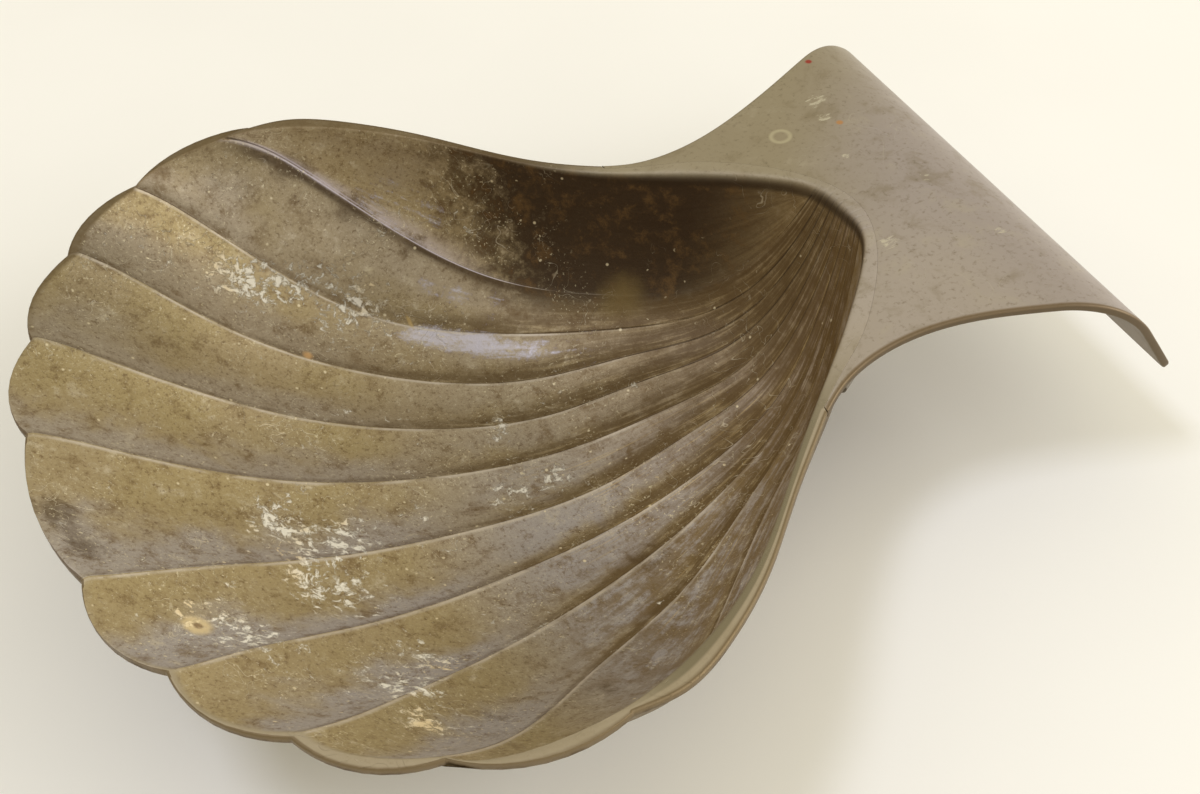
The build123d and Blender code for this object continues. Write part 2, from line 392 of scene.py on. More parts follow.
# What the paint follows, in mm: run along the flute, distance from the ridge before
# and to the ridge after, and to the rim; place across goes 0 to 1 over the flutes
NO_RIDGE = 30.0             # stands for a ridge where a wall has none
WALL_PLACE = 0.3            # the walls' place across runs on by this much
rows, columns = top.shape[:2]
step_along = np.linalg.norm(np.diff(top, axis=0), axis=-1)
run_mm = np.concatenate([np.zeros((1, columns)), np.cumsum(step_along, axis=0)])
step_across = np.linalg.norm(np.diff(top, axis=1), axis=-1)
run_across = np.concatenate([np.zeros((rows, 1)), np.cumsum(step_across, axis=1)], axis=1)
ridge_at = WALL_STEPS + FLUTE_STEPS * np.arange(FLUTES + 1)
ridge_across = run_across[:, ridge_at]
after = np.clip(np.searchsorted(ridge_at, np.arange(columns), side="right") - 1, -1, FLUTES)
rise = np.where(after >= 0, run_across - ridge_across[:, np.maximum(after, 0)], NO_RIDGE)
fall = np.where(after < FLUTES, ridge_across[:, np.minimum(after + 1, FLUTES)] - run_across, NO_RIDGE)
place_across = np.r_[
    np.linspace(-WALL_PLACE, 0, WALL_STEPS, endpoint=False),
    (flute + s_line) / FLUTES,
    1 + np.linspace(0, WALL_PLACE, WALL_STEPS + 1)[1:]]
to_side = np.minimum(run_across, run_across[:, -1:] - run_across)
lip = np.minimum(np.minimum(run_mm, run_mm[-1] - run_mm), to_side)
flow = np.stack([run_mm, place_across + 0 * run_mm, lip], -1).reshape(-1, 3)
crest = np.stack([rise, fall, 0 * rise], -1).reshape(-1, 3)


def around(points, spots):
    """Sum of bells strength * exp(-(distance / radius)^2) round the spots, at most 1."""
    total = 0
    for x, y, z, radius, strength in spots:
        total = total + strength * np.exp(-((points - (x, y, z)) ** 2).sum(-1) / radius**2)
    return np.clip(total, 0, 1)


# Marks inside the bowl: place, radius and strength. The first two lists are lime and stains; the third places
# a painted highlight streak.
LIME = [
    (-36.8, 49.7, 21.7, 6, 1.0), (-30.5, 47.5, 17.9, 4, 0.8), (-50, -1.5, 17.5, 7, 0.9),
    (-43, -3.5, 13.3, 5, 1.0), (-57, -26, 27, 7, 0.6), (-47, -17, 16.5, 7, 0.9), (-51, -12, 18, 5, 0.7),
    (12.3, 35.6, 18.6, 2.6, 1.0), (-31, 23.5, 9.8, 3, 0.9), (-9.3, 14.1, 2.7, 3, 0.8),
    (-6.2, 0, 1.2, 4, 0.8), (-15, -2, 3.5, 5, 0.7), (-5.9, -31.9, 5.2, 1.6, 1.0),
    (-33.4, -55, 24.3, 1.3, 1.3), (-46.7, -47.6, 26.6, 3, 1.0), (-47, -39, 22, 5, 0.9),
    (-24, 49, 19, 4, 0.85), (-19, 45, 15, 4, 0.85), (-27, 42, 15, 4, 0.6), (-38, -33, 17, 5, 0.6),
    (-28, -30, 10, 5, 0.5), (-20, 42, 12, 5, 0.6), (-66, -22, 30, 6, 0.5), (-61, 18, 24, 5, 0.3),
    (-24, 20, 7, 3, 0.6), (-41, -29, 17, 4, 0.6),
]
STAIN = [
    (-76.5, 0, 36, 3.5, 0.8), (-75, -7, 35, 3.5, 0.75), (-23, 60, 31, 4, 0.7), (-29, 62, 35, 3.5, 0.5),
    (-16, 55, 23, 3.5, 0.6), (-8, 48, 16, 3.5, 0.5), (-37, -47, 21, 3, 0.5), (-23, -48, 16, 4, 0.5),
    (-2, -22, 2.5, 5, 0.5), (-15, -50, 17, 4, 0.4),
]
# Places of a painted highlight: a light violet streak laid into the colour of the far flutes
HIGHLIGHT_SPOTS = [
    (-15.5, 37.0, 8.8, 2.1, 0.9), (-13, 35.7, 8.0, 2.2, 1.1), (-10.5, 34.4, 7.1, 2.2, 1.1),
    (-8, 33, 6.3, 2.2, 1.2), (-5.5, 31.4, 5.5, 2.2, 1.1), (-3, 30, 4.9, 2.2, 1.0),
    (-0.5, 28.5, 4.4, 2.2, 0.8), (2.5, 26.8, 4.0, 2.3, 0.6), (5, 25, 3.6, 3.5, 0.5),
    (11, 21, 3.5, 3.5, 0.4), (-9.5, 43.5, 11.5, 2.6, 0.7), (-4.5, 40, 9.5, 2.6, 0.8),
    (0, 36.5, 8, 2.6, 0.6), (-19, 57.5, 27.5, 2.5, 0.4), (-11, 54, 24, 6, 0.45),
    (-5, 50, 20.5, 5, 0.45),
]
spots = np.stack([around(top, LIME), around(top, STAIN), around(top, HIGHLIGHT_SPOTS)], -1).reshape(-1, 3)


def wrap(values, loop, shares, marked):
    """Paint values of the upper points, carried over the rings and the lower points; where
    marked, the rings hold their entry of shares as third value."""
    out = [values]
    for share in shares:
        ring = values[loop].copy()
        if marked:
            ring[:, 2] = share
        out.append(ring)
    return np.concatenate(out + [values])


# On the rings the distance to the rim goes on below 0, down to -1 at the cut edge,
# and the crest paint's third value is 1 from under the edge on
loop = perimeter(index)
hidden = at_joint * 0.5
shares_out = [np.full(len(loop), share) for share in (-0.02, -0.04, -0.06, -0.08, -0.1)]
shares_out += [-0.9 + hidden] + [-1.0 + hidden] * (1 + len(EDGE_DOWN) + len(EDGE_BACK))
paint = {
    "flow": wrap(flow, loop, shares_out, True),
    "crest": wrap(crest, loop, shares_out, False),
    "spots": wrap(spots, loop, shares_out, False)}
paint["crest"][-len(crest) - len(EDGE_BACK) * len(loop):, 2] = 1
bowl_sheet = closed_sheet(
    "bowl_sheet", top.reshape(-1, 3), grid_cells(index), loop, rings, under.reshape(-1, 3), paint)


def tone(red, green, blue):
    """Screen colour of 0 to 255 as linear light: ((c + 0.055) / 1.055) ^ 2.4."""
    return (*[((c / 255 + 0.055) / 1.055) ** 2.4 for c in (red, green, blue)], 1)


class Paint:
    """A material built node by node; every call gives the new node's output."""

    def __init__(self, name):
        self.material = bpy.data.materials.new(name)
        self.material.use_nodes = True
        self.tree = self.material.node_tree
        self.shader = self.tree.nodes["Principled BSDF"]

    def put(self, socket, value):
        """Links an output to the socket, or sets the socket to a constant."""
        if isinstance(value, bpy.types.NodeSocket):
            self.tree.links.new(value, socket)
        else:
            socket.default_value = value

    def node(self, kind, inputs, out=0, **settings):
        """A new shader node with its settings and inputs."""
        node = self.tree.nodes.new("ShaderNode" + kind)
        for key, value in settings.items():
            setattr(node, key, value)
        for key, value in inputs.items():
            self.put(node.inputs[key], value)
        return node.outputs[out]

    def calc(self, operation, a, b=0.0):
        """One step of arithmetic."""
        return self.node("Math", {0: a, 1: b}, operation=operation)

    def times(self, *values):
        """Product of the values."""
        out = values[0]
        for value in values[1:]:
            out = self.calc("MULTIPLY", out, value)
        return out

    def plus(self, *values):
        """Sum of the values."""
        out = values[0]
        for value in values[1:]:
            out = self.calc("ADD", out, value)
        return out

    def less(self, a, b):
        """a - b."""
        return self.calc("SUBTRACT", a, b)

    def centred(self, noise, gain):
        """(noise - 0.5) * gain: a noise that pushes both ways."""
        return self.times(self.less(noise, 0.5), gain)

    def band(self, value, low, high, top=1.0):
        """0 at low, top at high, eased between."""
        sockets = {0: value, 1: low, 2: high, 3: 0.0, 4: top}
        return self.node("MapRange", sockets, interpolation_type="SMOOTHSTEP")

    def blend(self, a, b, share):
        """Colour a with a share of b."""
        return self.node("Mix", {0: share, 6: a, 7: b}, out=2, data_type="RGBA")

    def coats(self, colour, *coats):
        """Coats of (screen colour, share) laid over colour in their order."""
        for screen, share in coats:
            colour = self.blend(colour, tone(*screen), share)
        return colour

    def regrade(self, colour, saturation, value):
        """Colour with its saturation and brightness multiplied."""
        sockets = {"Hue": 0.5, "Saturation": saturation, "Value": value, "Fac": 1.0, "Color": colour}
        return self.node("HueSaturation", sockets)

    def noise(self, place, scale, detail=4.0, rough=0.55, warp=0.0):
        """Fractal noise of about 0.2 to 0.8."""
        sockets = {"Vector": place, "Scale": scale, "Detail": detail, "Roughness": rough, "Distortion": warp}
        return self.node("TexNoise", sockets)

    def hairs(self, place, scale, rough, warp):
        """Distance of a soft noise from its middle value: near 0 along thin curling lines."""
        return self.calc("ABSOLUTE", self.less(self.noise(place, scale, 2, rough, warp), 0.5))

    def cells(self, place, scale):
        """Distance to the nearest of scattered points."""
        return self.node("TexVoronoi", {"Vector": place, "Scale": scale})

    def vector(self, operation, a, b, out=0):
        """One step of vector arithmetic; out=1 gives a length or distance."""
        return self.node("VectorMath", {0: a, 1: b}, out=out, operation=operation)

    def away(self, place, point):
        """Distance in mm from a point."""
        return self.vector("DISTANCE", place, point, out=1)

    def place(self):
        """Object place in mm."""
        return self.vector("MULTIPLY", self.node("TexCoord", {}, out=3), (1000, 1000, 1000))

    def read(self, name):
        """The three values of a named paint coordinate."""
        return self.split(self.node("Attribute", {}, out=1, attribute_name=name))

    def split(self, vector):
        """The three parts of a vector."""
        self.node("SeparateXYZ", {0: vector})
        return self.tree.nodes[-1].outputs[:]

    def join(self, x, y, z=0.0):
        """A vector of three parts."""
        return self.node("CombineXYZ", {0: x, 1: y, 2: z})

    def finish(self, colour, rough, metal, height, depth):
        """Links the looks to the shader; height 0 to 1 stands for depth mm of relief."""
        bump = self.node("Bump", {"Height": height, "Distance": depth * MM, "Strength": 1.0})
        looks = {"Base Color": colour, "Roughness": rough, "Metallic": metal, "Normal": bump}
        for name, value in looks.items():
            self.put(self.shader.inputs[name], value)
        return self.material


def plate_look(p, place):
    """Colour, roughness and height of the rubbed plate, shared by handle and flange."""
    x, y, _ = p.split(place)
    plan = p.join(x, y)
    cloud = p.noise(place, 0.035, 4, 0.5)
    patch = p.noise(place, 0.16, 7, 0.66, 0.4)
    grain = p.noise(place, 1.3, 4, 0.65)

    # Olive by the mouth, lilac towards the roll, paler on the near arm, then mottling
    lilac = p.band(p.plus(p.less(x, p.times(y, 0.8)), p.times(cloud, 20.0)), 38.0, 72.0)
    colour = p.blend(tone(148, 136, 112), tone(160, 149, 144), lilac)
    colour = p.coats(
        colour,
        ((172, 160, 145), p.times(p.band(y, 4.0, -22.0), p.band(x, 66.0, 48.0), 0.55)),
        ((122, 108, 80), p.band(patch, 0.5, 0.72, 0.5)),
        ((176, 165, 145), p.band(patch, 0.46, 0.25, 0.4)),
        ((104, 90, 66), p.band(grain, 0.52, 0.78, 0.6)))

    # Lime smears (x, y, radius), a dried ring of water, two specks of paint
    smears = (
        (57.4, 25.1, 3.2), (56.0, 20.7, 2.2), (46.6, -10.7, 2.6),
        (60.1, -1.1, 1.6), (61.8, -17.5, 1.5), (53.0, 10.0, 1.2))
    smear = p.noise(p.vector("MULTIPLY", place, (0.5, 1.6, 1.0)), 0.85, 8, 0.75, 0.6)
    where = 0.0
    for sx, sy, radius in smears:
        where = p.calc("MAXIMUM", where, p.band(p.away(plan, (sx, sy, 0)), radius, radius * 0.3))
    smear = p.band(p.plus(smear, p.times(where, 0.19)), 0.66, 0.77)
    ring = p.away(plan, (47.3, 20.2, 0))
    ring = p.times(p.band(ring, 0.9, 1.5), p.band(ring, 2.1, 1.6))
    colour = p.coats(
        colour,
        ((202, 194, 172), p.times(smear, 0.7)),
        ((182, 172, 142), p.times(ring, 0.7)),
        ((176, 130, 84), p.band(p.away(plan, (57.2, 18.0, 0)), 0.75, 0.35)),
        ((150, 52, 38), p.band(p.away(plan, (62.6, 35.4, 0)), 0.75, 0.35)))
    colour = p.regrade(colour, 1.0, 1.10)

    hair = p.times(p.band(p.hairs(place, 0.11, 0.4, 0.5), 0.004, 0.0), p.band(cloud, 0.45, 0.6))
    colour = p.coats(colour, ((190, 180, 160), p.times(hair, 0.35)))
    rough = p.plus(0.36, p.times(patch, 0.16))
    height = p.plus(p.times(patch, 0.5), p.times(grain, 0.12), p.times(hair, -0.2))
    return colour, rough, height


def browned_brass():
    """Patina inside the bowl: olive under each crest and violet grey over the next,
    lime flecks, hair scratches, worn flange; painted shade in brown bands and lines by the crests, a far wall
    darkened partly by painted dark reflection, and painted highlights."""
    p = Paint("browned_brass")
    place = p.place()
    x, y, _ = p.split(place)
    run, across, lip = p.read("flow")
    rise, fall, under = p.read("crest")
    lime_at, stain_at, highlight_at = p.read("spots")
    cloud = p.noise(place, 0.045, 5, 0.6)
    other = p.noise(place, 0.07, 5, 0.6, 0.3)
    patch = p.noise(place, 0.26, 11, 0.72, 0.15)
    grain = p.noise(place, 1.4, 5, 0.7)
    speck = p.noise(place, 2.7, 4, 0.7, 0.2)
    brush = p.noise(p.join(p.times(run, 0.09), p.times(across, 60.0)), 1.0, 6, 0.65, 0.3)

    # Zones: towards the hinge, the lip end, the near flutes, the far side
    hinge = p.band(x, -12.0, 34.0)
    inward = p.band(x, -48.0, 32.0)
    left = p.band(x, -12.0, -38.0)
    right = p.less(1.0, left)
    near = p.band(across, 0.25, 0.7)
    far = p.band(y, 5.0, 22.0)

    # Ground: the share of the way from ridge to ridge sets olive or violet grey
    share = p.calc("DIVIDE", rise, p.plus(rise, fall, 0.01))
    share = p.plus(share, p.centred(other, 1.3))
    low = p.times(left, p.band(share, 0.35, 0.8), p.plus(0.3, p.times(near, 0.6)))
    high = p.times(right, p.band(share, 0.85, 0.35), p.plus(0.2, p.times(near, 0.8)))
    upper = p.times(left, p.band(share, 0.62, 0.2), p.band(cloud, 0.38, 0.58))
    colour = p.blend(tone(148, 130, 94), tone(153, 146, 145), p.plus(low, high))
    colour = p.coats(
        colour,
        ((149, 131, 84), p.times(upper, p.less(0.65, p.times(near, 0.3)))),
        ((100, 76, 38), p.band(patch, 0.5, 0.68, 0.7)),
        ((190, 178, 154), p.band(patch, 0.46, 0.26, 0.65)),
        ((86, 60, 24), p.band(grain, 0.51, 0.72, 0.7)),
        ((190, 180, 158), p.band(grain, 0.42, 0.25, 0.5)),
        ((78, 56, 26), p.band(speck, 0.56, 0.74, 0.6)),
        ((204, 194, 170), p.band(speck, 0.42, 0.26, 0.5)))

    # Towards the hinge: brown brushed along the flutes, with golden scratches
    brushed = p.band(p.plus(brush, p.times(patch, 0.8)), 0.74, 1.05, 0.5)
    strands = p.noise(p.join(p.times(run, 0.05), p.times(across, 230.0), 3.0), 1.0, 3, 0.6)
    strands = p.times(p.band(strands, 0.57, 0.68), p.band(x, -20.0, 2.0), p.band(across, 0.3, 0.6))
    golden = p.times(
        p.band(across, 0.60, 0.86), p.band(x, -34.0, -6.0), p.band(p.plus(brush, patch), 0.82, 1.1))
    colour = p.coats(
        colour,
        ((124, 100, 58), p.times(hinge, 0.6)),
        ((76, 52, 18), p.times(hinge, brushed)),
        ((186, 160, 106), p.times(strands, 0.6)),
        ((112, 90, 50), p.times(golden, 0.8)),
        ((92, 72, 36), p.times(p.band(x, 14.0, 34.0), 0.1)))

    # The far wall's dark end, mottled brown and partly a painted dark reflection, and a brown band of painted
    # shade above each crest that widens inwards
    wall = p.times(p.band(across, 0.10, -0.02), far)
    deep = p.times(wall, p.band(p.plus(x, p.centred(patch, 40.0)), -6.0, 9.0), 0.95)
    wide = p.plus(1.6, p.times(inward, 6.6))
    crest_shade_band = p.times(
        p.band(fall, wide, p.times(wide, 0.3)), p.band(across, -0.01, 0.02),
        p.plus(0.45, p.times(inward, 0.33)), p.band(p.plus(brush, p.times(patch, 0.5)), 0.5, 0.8))
    colour = p.blend(colour, p.blend(tone(46, 28, 8), tone(92, 66, 30), p.band(patch, 0.48, 0.7)), deep)
    colour = p.coats(colour, ((80, 58, 22), crest_shade_band))

    # Both sides of the first ridge: painted shade under it, a painted violet highlight on the wall over it
    shade = p.times(
        p.band(across, -0.004, 0.0), p.band(across, 0.12, 0.1), p.band(x, -34.0, -26.0), p.band(x, 14.0, 0.0),
        p.band(rise, 7.0, 3.0), p.band(rise, 0.3, 1.0), p.band(patch, 0.74, 0.46))
    wall_highlight = p.times(
        p.band(across, -0.10, -0.01), p.band(across, 0.004, 0.0), p.band(x, -50.0, -30.0),
        p.band(x, 4.0, -10.0), p.band(patch, 0.72, 0.45), far)

    # Stains, then painted light: a painted highlight streak, a painted shade line beside each crest and a
    # painted highlight along its edge
    stain = p.band(p.plus(stain_at, p.centred(patch, 1.2)), 0.25, 0.75)
    streak = p.plus(p.centred(brush, 1.6), p.centred(grain, 1.2), p.centred(patch, 1.6))
    rubbed = p.band(p.plus(highlight_at, streak), 0.45, 1.15)
    line = p.times(p.band(fall, 0.42, 0.12), p.band(brush, 0.28, 0.5), 0.75)
    crest_highlight = p.times(p.band(rise, 0.8, 0.15), p.band(brush, 0.66, 0.42), p.band(x, 24.0, 0.0, 0.8))
    ridge_highlight = p.times(
        p.band(p.calc("MINIMUM", rise, fall), 0.9, 0.3), p.band(across, 0.03, 0.01),
        p.band(x, -32.0, -20.0), p.band(x, 8.0, 0.0))
    colour = p.coats(
        colour,
        ((66, 46, 20), p.times(shade, 0.88)),
        ((172, 160, 162), p.times(wall_highlight, 0.75)),
        ((72, 52, 24), p.times(stain, 0.75)),
        ((184, 180, 192), p.times(rubbed, 0.8)),
        ((58, 42, 22), line),
        ((186, 174, 158), crest_highlight),
        ((186, 176, 188), p.times(ridge_highlight, 0.8)))

    # Lime in flecks, dots and crumbs, and pale hair scratches
    lime = p.noise(place, 0.6, 9, 0.74, 0.5)
    lime = p.plus(lime, p.plus(p.times(lime_at, 0.17), p.times(p.band(other, 0.42, 0.62), 0.068)))
    lime = p.times(
        p.band(lime, 0.655, 0.74), p.band(lip, 0.5, 2.0), p.band(deep, 0.9, 0.2),
        p.less(1.0, p.times(hinge, 0.7)))
    lime_tone = p.blend(tone(206, 200, 184), tone(198, 176, 132), p.band(cloud, 0.5, 0.62))
    dots = p.times(p.band(p.cells(place, 0.45), 0.16, 0.07), p.band(p.noise(place, 0.45, 2), 0.56, 0.62))
    crumbs = p.times(
        p.band(p.noise(place, 1.9, 3, 0.6), 0.61, 0.69), p.band(other, 0.4, 0.56), p.band(x, 24.0, 4.0))
    hair = p.times(p.band(p.hairs(place, 0.22, 0.4, 0.8), 0.007, 0.001), p.band(other, 0.46, 0.58))
    colour = p.blend(colour, lime_tone, p.times(lime, 0.8))
    colour = p.coats(
        colour,
        ((214, 200, 166), p.times(dots, 0.7)),
        ((204, 192, 160), p.times(crumbs, 0.65)),
        ((196, 184, 158), p.times(hair, 0.4)))

    # A ringed stain near the lip, then four single marks: place, reach, colour
    away = p.away(place, (-65.9, -22.4, 30.4))
    colour = p.coats(
        colour,
        ((206, 184, 138), p.band(p.plus(away, p.times(patch, 2.0)), 3.6, 2.2, 0.85)),
        ((120, 92, 56), p.band(away, 0.9, 0.4, 0.8)))
    marks = (
        ((-14.3, 38.9, 9.2), (0.4, 2.0, 1.0), (176, 148, 90)),
        ((-33.1, 34.9, 14.1), (1.0, 1.0, 1.0), (206, 160, 98)),
        ((-16.5, 47.5, 15.5), (1.2, 1.2, 1.2), (190, 176, 140)),
        ((18.8, 24.5, 9.3), (5.0, 4.0, 5.0), (104, 84, 40)))
    for mark, size, screen in marks:
        offset = p.vector("DIVIDE", p.vector("SUBTRACT", place, mark), size)
        away = p.node("VectorMath", {0: offset}, out=1, operation="LENGTH")
        colour = p.coats(colour, (screen, p.band(p.plus(away, p.times(patch, 1.4)), 1.9, 0.9, 0.75)))

    # Brightness: more on the near flutes and inwards, less in the far corner, and painted shade on the first
    # flute under its ridge
    corner = p.times(p.band(x, -38.0, -60.0), p.band(y, 18.0, 48.0))
    first_flute_shade = p.times(
        p.band(across, -0.005, 0.005), p.band(across, 0.13, 0.09), p.band(x, 10.0, -20.0))
    corner = p.calc("MAXIMUM", corner, first_flute_shade)
    value = p.plus(1.11, p.less(p.times(near, 0.27), p.times(corner, 0.28)))
    value = p.plus(value, p.plus(p.times(hinge, 0.12), p.times(p.band(x, -42.0, -8.0), 0.08)))
    colour = p.regrade(colour, 0.94, value)

    # The flange, where the distance to the rim is under 0: the plate's look, browner on
    # its outer line and round the near lobes, and a painted shade line inside the mouth
    flange = p.band(lip, 0.02, -0.09)
    plate = p.coats(
        plate_look(p, place)[0],
        ((166, 151, 123), p.band(y, -18.0, -34.0, 0.7)),
        ((104, 84, 50), p.band(lip, -0.7, -1.0, 0.8)))
    lobes = p.times(p.band(x, 24.0, 6.0), p.band(y, -36.0, -22.0))
    inner_half = p.times(
        p.band(lip, -0.55, -0.35), flange, p.band(y, -22.0, -36.0), p.band(x, -30.0, -18.0))
    mouth_shade_line = p.times(p.band(lip, -0.07, 0.0), p.band(lip, 1.4, 0.3), p.band(x, 10.0, 25.0))
    colour = p.blend(colour, plate, p.times(flange, p.less(1.0, p.times(lobes, 0.85))))
    colour = p.coats(
        colour,
        ((120, 110, 84), p.times(inner_half, 0.85)),
        ((84, 64, 36), p.times(p.band(lip, -0.65, -0.95), lobes, 0.7)),
        ((96, 76, 42), p.times(flange, p.band(y, 30.0, 45.0), 0.7)),
        ((52, 36, 16), p.times(mouth_shade_line, 0.8)))

    # The underside
    back = p.blend(tone(118, 102, 76), tone(84, 66, 40), p.band(patch, 0.42, 0.66))
    colour = p.blend(colour, back, under)

    rough = p.plus(0.40, p.plus(p.times(patch, 0.18), p.times(lime, 0.3)))
    rough = p.less(rough, p.times(rubbed, 0.10))
    metal = p.times(p.less(0.55, p.times(lime, 0.55)), p.less(1.0, p.times(hinge, 0.4)))
    height = p.plus(p.times(patch, 0.45), p.times(grain, 0.16), p.times(brush, 0.2))
    height = p.plus(height, p.less(p.times(lime, 0.25), p.times(hair, 0.15)))
    height = p.less(height, p.times(line, 0.5))
    return p.finish(colour, rough, metal, height, 0.25)


bowl_sheet.data.materials.append(browned_brass())
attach(bowl_sheet, "root")
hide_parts("bowl")

# The handle. A plate of the same sheet cut to a flare, its two arms let in
# beside the bowl's neck and its end rolled down as a finger rest.
ROLL_START = 60.5
ROLL_RADIUS = 16.0
ROLL_TAIL = 9.4
ROLL_ANGLE = math.radians(60.0)
ROLL_SKEW = math.radians(3.1)       # the roll was bent a little out of square
HANDLE_SIDE = [(25.1, 30.4), (35.6, 28.3), (46.2, 30.3), (56.8, 34.5), (70.0, 39.8), (90.0, 42.0)]
SEAM = 0.02                         # gap to the flange, which the solder fills
TIP_INSET = 0.08                    # the upper face starts this far from an arm's tip
BORDER = 0.6                        # strip along the outline where the edge is rounded
CORNER_ROUND = 0.3                  # share of the strip that the roll's corners are cut by
NECK_ROWS, BACK_ROWS, ACROSS = 90, 90, 34
NECK_SHARE = 0.52                   # share of the side's length that lies beside the mouth


def along_roll(xy):
    """Distance of plan points along the plate, square to its skewed roll: x cos - y sin."""
    return xy[..., 0] * math.cos(ROLL_SKEW) - xy[..., 1] * math.sin(ROLL_SKEW)


def plate_z(xy):
    """Height of the plate: the rim surface, then an arc of ROLL_RADIUS and a straight tail."""
    x = along_roll(xy)
    over = np.clip(x - ROLL_START, 0, ROLL_RADIUS * math.sin(ROLL_ANGLE))
    arc = ROLL_RADIUS - np.sqrt(ROLL_RADIUS**2 - over**2)
    past = np.maximum(x - ROLL_START - over, 0)
    return rim_z(xy[..., 0]) - arc - past * math.tan(ROLL_ANGLE)


def resample(curve, shares):
    """Points of a polyline at shares of its length."""
    run = np.r_[0, np.cumsum(np.linalg.norm(np.diff(curve, axis=0), axis=1))]
    return np.stack([np.interp(shares * run[-1], run, curve[:, i]) for i in (0, 1)], -1)


end_x = ROLL_START + ROLL_RADIUS * math.sin(ROLL_ANGLE) + ROLL_TAIL * math.cos(ROLL_ANGLE)
arm = through([(SIDE[-1][0] + SEAM, SIDE[-1][1]), *HANDLE_SIDE], 600)
back_shares = np.linspace(0, 1, BACK_ROWS + 1)[1:]
shares = np.r_[np.linspace(0, NECK_SHARE, NECK_ROWS), NECK_SHARE + (1 - NECK_SHARE) * back_shares]
across = np.linspace(0, 1, ACROSS)[None, :, None]


def ruled_plan(inset, tip, seam):
    """The plate in plan as two halves, each ruled from its flared side to the mouth's edge
    and then the middle line; the outline is drawn in by inset at sides and end, by tip
    where the arms start and by seam at the mouth."""
    sides = []
    for flip in (1, -1):
        side = arm * (1, flip)
        way = np.gradient(side, axis=0)
        square = np.stack([way[:, 1], -way[:, 0]], -1) / np.linalg.norm(way, axis=1, keepdims=True)
        side = side + square * inset * flip
        x = along_roll(side)
        stop = end_x - inset * math.cos(ROLL_ANGLE)
        k = np.argmax(x > stop)
        last = side[k - 1] + (stop - x[k - 1]) / (x[k] - x[k - 1]) * (side[k] - side[k - 1])
        side = np.concatenate([side[:k], [last]])
        sides.append(side[side[:, 0] >= arm[0, 0] + tip])
    left, right = sides[0][-1], sides[1][-1]
    mid = left + (right - left) * left[1] / (left[1] - right[1])
    neck = neck_curve(CURVE_STEPS, seam)
    neck = resample(neck[neck[:, 0] >= arm[0, 0] + tip], np.linspace(0, 1, NECK_ROWS))
    spine = neck[-1] + (mid - neck[-1]) * back_shares[:, None]
    halves = []
    for side, flip in zip(sides, (1, -1)):
        inside = np.concatenate([neck * (1, flip), spine])
        halves.append(resample(side, shares)[:, None] * (1 - across) + inside[:, None] * across)
    return np.concatenate([halves[0], halves[1][:, ::-1]], axis=1)


def on_plate(plan, deep):
    """Plan points set on the plate, then deep mm into it along its slope."""
    step = 0.05
    moves = np.array([step, 0]), np.array([0, step])
    x_slope, y_slope = [(plate_z(plan + d) - plate_z(plan - d)) / (2 * step) for d in moves]
    tilt = np.stack([-x_slope, -y_slope, np.ones_like(x_slope)], -1)
    tilt /= np.linalg.norm(tilt, axis=-1, keepdims=True)
    return np.concatenate([plan, plate_z(plan)[..., None]], -1) - tilt * deep


# Cells of the two halves, which share the middle line behind the mouth, and their border
# as one loop: the left side, the end, the right side and back round the mouth
inner, outer = ruled_plan(BORDER, TIP_INSET, SEAM + TIP_INSET), ruled_plan(0, 0, SEAM)
index = np.arange(inner.shape[0] * inner.shape[1]).reshape(inner.shape[:2])
index[NECK_ROWS - 1:, ACROSS] = index[NECK_ROWS - 1:, ACROSS - 1]
cells = np.concatenate([grid_cells(index[:, :ACROSS]), grid_cells(index[:, ACROSS:])])[:, ::-1]
loop = np.concatenate([
    index[:-1, 0], index[-1, :ACROSS], index[-1, ACROSS + 1:-1], index[:0:-1, -1],
    index[0, :ACROSS:-1], index[:NECK_ROWS - 1, ACROSS], index[NECK_ROWS - 1:0:-1, ACROSS - 1],
    index[0, ACROSS - 1:0:-1]])
inner, outer = inner.reshape(-1, 2), outer.reshape(-1, 2)
inside, outside = inner[loop], outer[loop]
corners = np.isin(loop, (index[-1, 0], index[-1, -1]))
outside = outside + (inside - outside) * np.where(corners, CORNER_ROUND, 0)[:, None]

# The edge is nearly square where it meets the flange, rounded everywhere else
column = loop % (2 * ACROSS)
beside = (column == ACROSS) | (column == ACROSS - 1) | (loop < 2 * ACROSS)
beside &= ~np.isin(loop, (index[-1, ACROSS - 1], index[0, 0], index[0, -1]))
edge = np.where(beside, JOINT_EDGE, EDGE)[:, None]
inward = (inside - outside) / np.maximum(np.linalg.norm(inside - outside, axis=1, keepdims=True), 0.03)


def plate_edge(t, drop, way):
    """A ring of the cut edge's quarter circle at angle t, from drop down or up."""
    return on_plate(outside + inward * edge * (1 - np.sin(t)), drop + way * edge * (1 - np.cos(t)))


steps = np.radians((0, 30, 60, 90))
rings = [plate_edge(t, 0, 1) for t in steps] + [plate_edge(t, SHEET, -1) for t in steps[::-1]]

# What the paint follows: distance to side and end in mm, and which half
grid = inner.reshape(-1, 2 * ACROSS, 2)
half = grid[:, :ACROSS], grid[:, ACROSS:][:, ::-1]
to_side = [np.linalg.norm(h - h[:, :1], axis=-1)[:, ::way] for h, way in zip(half, (1, -1))]
to_end = np.linalg.norm(grid - grid[-1:], axis=-1)
border = np.stack([np.concatenate(to_side, axis=1), to_end, np.sign(grid[..., 1])], -1).reshape(-1, 3)
border = border + (BORDER, BORDER, 0)
ring_border = [border[loop] * (share, share, 1) for share in (0.5, 0.3, 0.15, 0, 0, 0, 0, 0)]
border = np.concatenate([border, *ring_border, border])
handle_plate = closed_sheet(
    "handle_plate", on_plate(inner, 0), cells, loop, rings, on_plate(inner, SHEET), {"border": border})


